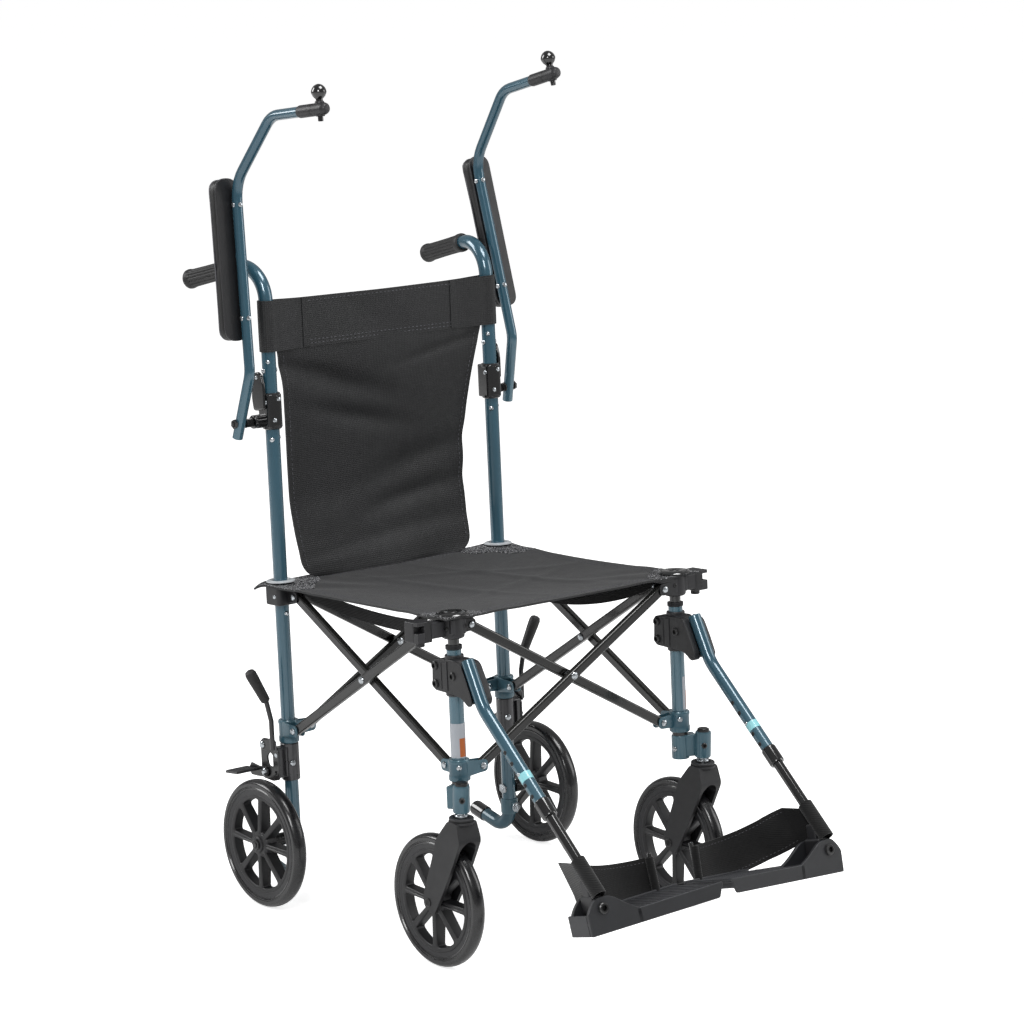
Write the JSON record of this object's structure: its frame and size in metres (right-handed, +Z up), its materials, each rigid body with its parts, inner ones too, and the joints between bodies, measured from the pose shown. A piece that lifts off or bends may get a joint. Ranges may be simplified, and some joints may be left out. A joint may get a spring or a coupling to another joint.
{
  "type": "transport wheelchair",
  "caption": "Folding transport wheelchair: teal tube posts, dark crossed bars, slung cloth seat and back, flip-back arms, small wheels, swing-away footrests",
  "frame": {"origin": "on the floor under the middle of the overall footprint, arms raised and footrests forward", "axes": "+Z up; the sitter faces -Y; +X is the sitter's left"},
  "size_m": [0.5821, 1.0102, 1.3],
  "materials": {
    "frame_paint": "glossy teal-grey enamel",
    "bar_paint": "dark metallic enamel",
    "tyre_rubber": "solid tyre, satin",
    "grip_rubber": "ribbed soft grip",
    "pad_cover": "skinned foam with light welt",
    "cloth": "woven nylon",
    "zinc": "zinc plate",
    "black_enamel": "gloss black",
    "moulded_plastic": "moulded, fine texture"
  },
  "bodies": {
    "right_rear_frame": {"right_rear_post": "frame_paint", "right_push_grip": "grip_rubber", "right_arm_collar": "moulded_plastic", "right_brake_clamp": "black_enamel", "right_tipping_lever": "frame_paint", "back_sling": "cloth"},
    "left_rear_frame": {"left_rear_post": "frame_paint", "left_push_grip": "grip_rubber", "left_arm_collar": "moulded_plastic", "left_brake_clamp": "black_enamel", "left_tipping_lever": "frame_paint"},
    "rear_bar_a": {"rear_scissor_bar_a": "bar_paint"},
    "rear_bar_b": {"rear_scissor_bar_b": "bar_paint"},
    "right_bar_a": {"right_scissor_bar_a": "bar_paint"},
    "right_bar_b": {"right_scissor_bar_b": "bar_paint"},
    "left_bar_a": {"left_scissor_bar_a": "bar_paint"},
    "left_bar_b": {"left_scissor_bar_b": "bar_paint"},
    "front_bar_a": {"front_scissor_bar_a": "bar_paint"},
    "front_bar_b": {"front_scissor_bar_b": "bar_paint"},
    "right_front_frame": {"right_front_post": "frame_paint"},
    "right_rear_corner_body": {"right_rear_corner": "moulded_plastic", "seat_sling": "cloth"},
    "right_front_corner_body": {"right_front_corner": "moulded_plastic"},
    "right_arm": {"right_arm_tube": "frame_paint", "right_arm_pad": "pad_cover"},
    "right_plunger": {"right_arm_plunger": "black_enamel"},
    "right_button": {"right_snap_button": "zinc"},
    "right_brake_arm": {"right_brake_lever": "black_enamel"},
    "right_brake_pad": {"right_brake_shoe": "black_enamel"},
    "right_rear_rolling": {"right_rear_tyre": "tyre_rubber", "right_rear_wheel": "moulded_plastic"},
    "right_fork": {"right_caster_fork": "moulded_plastic"},
    "right_caster_rolling": {"right_caster_tyre": "tyre_rubber", "right_caster_wheel": "moulded_plastic"},
    "right_hanger": {"right_hanger_clamp": "moulded_plastic", "right_hanger_tube": "frame_paint"},
    "right_lower": {"right_lower_tube": "black_enamel", "right_footplate_bolt": "zinc"},
    "right_plate": {"right_footplate": "moulded_plastic", "right_heel_strap": "cloth"},
    "left_front_frame": {"left_front_post": "frame_paint"},
    "left_rear_corner_body": {"left_rear_corner": "moulded_plastic"},
    "left_front_corner_body": {"left_front_corner": "moulded_plastic"},
    "left_arm": {"left_arm_tube": "frame_paint", "left_arm_pad": "pad_cover"},
    "left_plunger": {"left_arm_plunger": "black_enamel"},
    "left_button": {"left_snap_button": "zinc"},
    "left_brake_arm": {"left_brake_lever": "black_enamel"},
    "left_brake_pad": {"left_brake_shoe": "black_enamel"},
    "left_rear_rolling": {"left_rear_tyre": "tyre_rubber", "left_rear_wheel": "moulded_plastic"},
    "left_fork": {"left_caster_fork": "moulded_plastic"},
    "left_caster_rolling": {"left_caster_tyre": "tyre_rubber", "left_caster_wheel": "moulded_plastic"},
    "left_hanger": {"left_hanger_clamp": "moulded_plastic", "left_hanger_tube": "frame_paint"},
    "left_lower": {"left_lower_tube": "black_enamel", "left_footplate_bolt": "zinc"},
    "left_plate": {"left_footplate": "moulded_plastic", "left_heel_strap": "cloth"}
  },
  "joints": [
    {"name": "chair_fold", "type": "hinge", "parent": "right_rear_frame", "child": "rear_bar_a", "pos_m": [-0.182, 0.27642, 0.27376], "axis": [0, -0.9976, 0.0685], "range_deg": [0, 47], "deforming": ["seat_sling", "back_sling"]},
    {"name": "rear_cross", "type": "hinge", "parent": "rear_bar_a", "child": "rear_bar_b", "pos_m": [0, 0.28359, 0.37802], "axis": [0, -0.9976, 0.0685], "range_deg": [-94.5, 0.5]},
    {"name": "rear_left_foot", "type": "hinge", "parent": "rear_bar_b", "child": "left_rear_frame", "pos_m": [0.182, 0.27642, 0.27376], "axis": [0, -0.9976, 0.0685], "range_deg": [-0.5, 47.5]},
    {"name": "right_side_foot", "type": "hinge", "parent": "right_rear_frame", "child": "right_bar_a", "pos_m": [-0.215, 0.2435, 0.27602], "axis": [-1, 0, 0], "range_deg": [-0.5, 47.5]},
    {"name": "right_cross", "type": "hinge", "parent": "right_bar_a", "child": "right_bar_b", "pos_m": [-0.215, 0.06909, 0.39275], "axis": [-1, 0, 0], "range_deg": [-94.5, 0.5]},
    {"name": "right_front_foot", "type": "hinge", "parent": "right_bar_b", "child": "right_front_frame", "pos_m": [-0.215, -0.11964, 0.30097], "axis": [-1, 0, 0], "range_deg": [-0.5, 47.5]},
    {"name": "left_side_foot", "type": "hinge", "parent": "left_rear_frame", "child": "left_bar_a", "pos_m": [0.215, 0.2435, 0.27602], "axis": [-1, 0, 0], "range_deg": [-0.5, 47.5]},
    {"name": "left_cross", "type": "hinge", "parent": "left_bar_a", "child": "left_bar_b", "pos_m": [0.215, 0.06909, 0.39275], "axis": [-1, 0, 0], "range_deg": [-94.5, 0.5]},
    {"name": "left_front_foot", "type": "hinge", "parent": "left_bar_b", "child": "left_front_frame", "pos_m": [0.215, -0.11964, 0.30097], "axis": [-1, 0, 0], "range_deg": [-0.5, 47.5]},
    {"name": "front_right_foot", "type": "hinge", "parent": "right_front_frame", "child": "front_bar_a", "pos_m": [-0.182, -0.15256, 0.30323], "axis": [0, -0.9976, 0.0685], "range_deg": [-0.5, 47.5]},
    {"name": "front_cross", "type": "hinge", "parent": "front_bar_a", "child": "front_bar_b", "pos_m": [0, -0.1454, 0.40749], "axis": [0, -0.9976, 0.0685], "range_deg": [-94.5, 0.5]},
    {"name": "right_rear_slider_pin", "type": "hinge", "parent": "right_bar_b", "child": "right_rear_corner_body", "pos_m": [-0.215, 0.25783, 0.48453], "axis": [-1, 0, 0], "range_deg": [-0.5, 47.5]},
    {"name": "right_front_slider_pin", "type": "hinge", "parent": "right_bar_a", "child": "right_front_corner_body", "pos_m": [-0.215, -0.10532, 0.50948], "axis": [-1, 0, 0], "range_deg": [-47.5, 0.5]},
    {"name": "right_arm_swing", "type": "hinge", "parent": "right_rear_frame", "child": "right_arm", "pos_m": [-0.2635, 0.32479, 0.75157], "axis": [-0.9993, 0.0026, 0.0383], "range_deg": [-95.15, 6.85]},
    {"name": "right_arm_release", "type": "slide", "parent": "right_arm", "child": "right_plunger", "axis": [0.0382, 0.1578, 0.9867], "range_m": [0, 0.008]},
    {"name": "right_frame_button", "type": "slide", "parent": "right_rear_frame", "child": "right_button", "axis": [0, 0.9976, -0.0685], "range_m": [0, 0.0025]},
    {"name": "right_brake", "type": "hinge", "parent": "right_rear_frame", "child": "right_brake_arm", "pos_m": [-0.246, 0.30058, 0.24604], "axis": [1, 0, 0], "range_deg": [0, 50]},
    {"name": "right_brake_press", "type": "hinge", "parent": "right_rear_frame", "child": "right_brake_pad", "pos_m": [-0.246, 0.29564, 0.20328], "axis": [1, 0, 0], "range_deg": [-28.2, 0.2]},
    {"name": "right_rear_wheel_spin", "type": "hinge", "parent": "right_rear_frame", "child": "right_rear_rolling", "pos_m": [-0.272, 0.26452, 0.10047], "axis": [1, 0, 0], "continuous": true},
    {"name": "right_caster_swivel", "type": "hinge", "parent": "right_front_frame", "child": "right_fork", "pos_m": [-0.236, -0.18375, 0.22], "axis": [0, 0, 1], "continuous": true},
    {"name": "right_caster_spin", "type": "hinge", "parent": "right_fork", "child": "right_caster_rolling", "pos_m": [-0.236, -0.12975, 0.10047], "axis": [1, 0, 0], "continuous": true},
    {"name": "right_hanger_swing", "type": "hinge", "parent": "right_front_frame", "child": "right_hanger", "pos_m": [-0.215, -0.14366, 0.43293], "axis": [0, -0.0685, -0.9976], "range_deg": [0, 100]},
    {"name": "right_footrest_length", "type": "slide", "parent": "right_hanger", "child": "right_lower", "axis": [0, -0.7689, -0.6394], "range_m": [-0.04, 0.04]},
    {"name": "right_plate_flip", "type": "hinge", "parent": "right_lower", "child": "right_plate", "pos_m": [-0.217, -0.46355, 0.16823], "axis": [-0.0853, -0.9579, 0.2742], "range_deg": [-0.5, 92.5], "deforming": ["right_heel_strap"]},
    {"name": "left_rear_slider_pin", "type": "hinge", "parent": "left_bar_b", "child": "left_rear_corner_body", "pos_m": [0.215, 0.25783, 0.48453], "axis": [-1, 0, 0], "range_deg": [-0.5, 47.5]},
    {"name": "left_front_slider_pin", "type": "hinge", "parent": "left_bar_a", "child": "left_front_corner_body", "pos_m": [0.215, -0.10532, 0.50948], "axis": [-1, 0, 0], "range_deg": [-47.5, 0.5]},
    {"name": "left_arm_swing", "type": "hinge", "parent": "left_rear_frame", "child": "left_arm", "pos_m": [0.2635, 0.32479, 0.75157], "axis": [-0.9993, -0.0026, -0.0383], "range_deg": [-102, 0]},
    {"name": "left_arm_release", "type": "slide", "parent": "left_arm", "child": "left_plunger", "axis": [-0.0375, 0.2744, 0.9609], "range_m": [0, 0.008]},
    {"name": "left_frame_button", "type": "slide", "parent": "left_rear_frame", "child": "left_button", "axis": [0, 0.9976, -0.0685], "range_m": [0, 0.0025]},
    {"name": "left_brake", "type": "hinge", "parent": "left_rear_frame", "child": "left_brake_arm", "pos_m": [0.246, 0.30058, 0.24604], "axis": [1, 0, 0], "range_deg": [0, 50]},
    {"name": "left_brake_press", "type": "hinge", "parent": "left_rear_frame", "child": "left_brake_pad", "pos_m": [0.246, 0.29564, 0.20328], "axis": [1, 0, 0], "range_deg": [-28.2, 0.2]},
    {"name": "left_rear_wheel_spin", "type": "hinge", "parent": "left_rear_frame", "child": "left_rear_rolling", "pos_m": [0.272, 0.26452, 0.10047], "axis": [1, 0, 0], "continuous": true},
    {"name": "left_caster_swivel", "type": "hinge", "parent": "left_front_frame", "child": "left_fork", "pos_m": [0.236, -0.18375, 0.22], "axis": [0, 0, 1], "continuous": true},
    {"name": "left_caster_spin", "type": "hinge", "parent": "left_fork", "child": "left_caster_rolling", "pos_m": [0.236, -0.12975, 0.10047], "axis": [1, 0, 0], "continuous": true},
    {"name": "left_hanger_swing", "type": "hinge", "parent": "left_front_frame", "child": "left_hanger", "pos_m": [0.215, -0.14366, 0.43293], "axis": [0, 0.0685, 0.9976], "range_deg": [0, 100]},
    {"name": "left_footrest_length", "type": "slide", "parent": "left_hanger", "child": "left_lower", "axis": [0, -0.7689, -0.6394], "range_m": [-0.04, 0.04]},
    {"name": "left_plate_flip", "type": "hinge", "parent": "left_lower", "child": "left_plate", "pos_m": [0.217, -0.46355, 0.16823], "axis": [-0.0853, 0.9579, -0.2742], "range_deg": [-0.5, 92.5], "deforming": ["left_heel_strap"]}
  ],
  "couplings": [
    {"joint": "rear_cross", "follows": "chair_fold", "ratio": -2},
    {"joint": "rear_left_foot", "follows": "chair_fold", "ratio": 1},
    {"joint": "right_side_foot", "follows": "chair_fold", "ratio": 1},
    {"joint": "right_cross", "follows": "chair_fold", "ratio": -2},
    {"joint": "right_front_foot", "follows": "chair_fold", "ratio": 1},
    {"joint": "left_side_foot", "follows": "chair_fold", "ratio": 1},
    {"joint": "left_cross", "follows": "chair_fold", "ratio": -2},
    {"joint": "left_front_foot", "follows": "chair_fold", "ratio": 1},
    {"joint": "front_right_foot", "follows": "chair_fold", "ratio": 1},
    {"joint": "front_cross", "follows": "chair_fold", "ratio": -2},
    {"joint": "right_rear_slider_pin", "follows": "chair_fold", "ratio": 1},
    {"joint": "right_front_slider_pin", "follows": "chair_fold", "ratio": -1},
    {"joint": "right_brake_press", "follows": "right_brake", "ratio": -0.56},
    {"joint": "right_plate_flip", "follows": "chair_fold", "ratio": 1.9574},
    {"joint": "left_rear_slider_pin", "follows": "chair_fold", "ratio": 1},
    {"joint": "left_front_slider_pin", "follows": "chair_fold", "ratio": -1},
    {"joint": "left_brake_press", "follows": "left_brake", "ratio": -0.56},
    {"joint": "left_plate_flip", "follows": "chair_fold", "ratio": 1.9574}
  ]
}
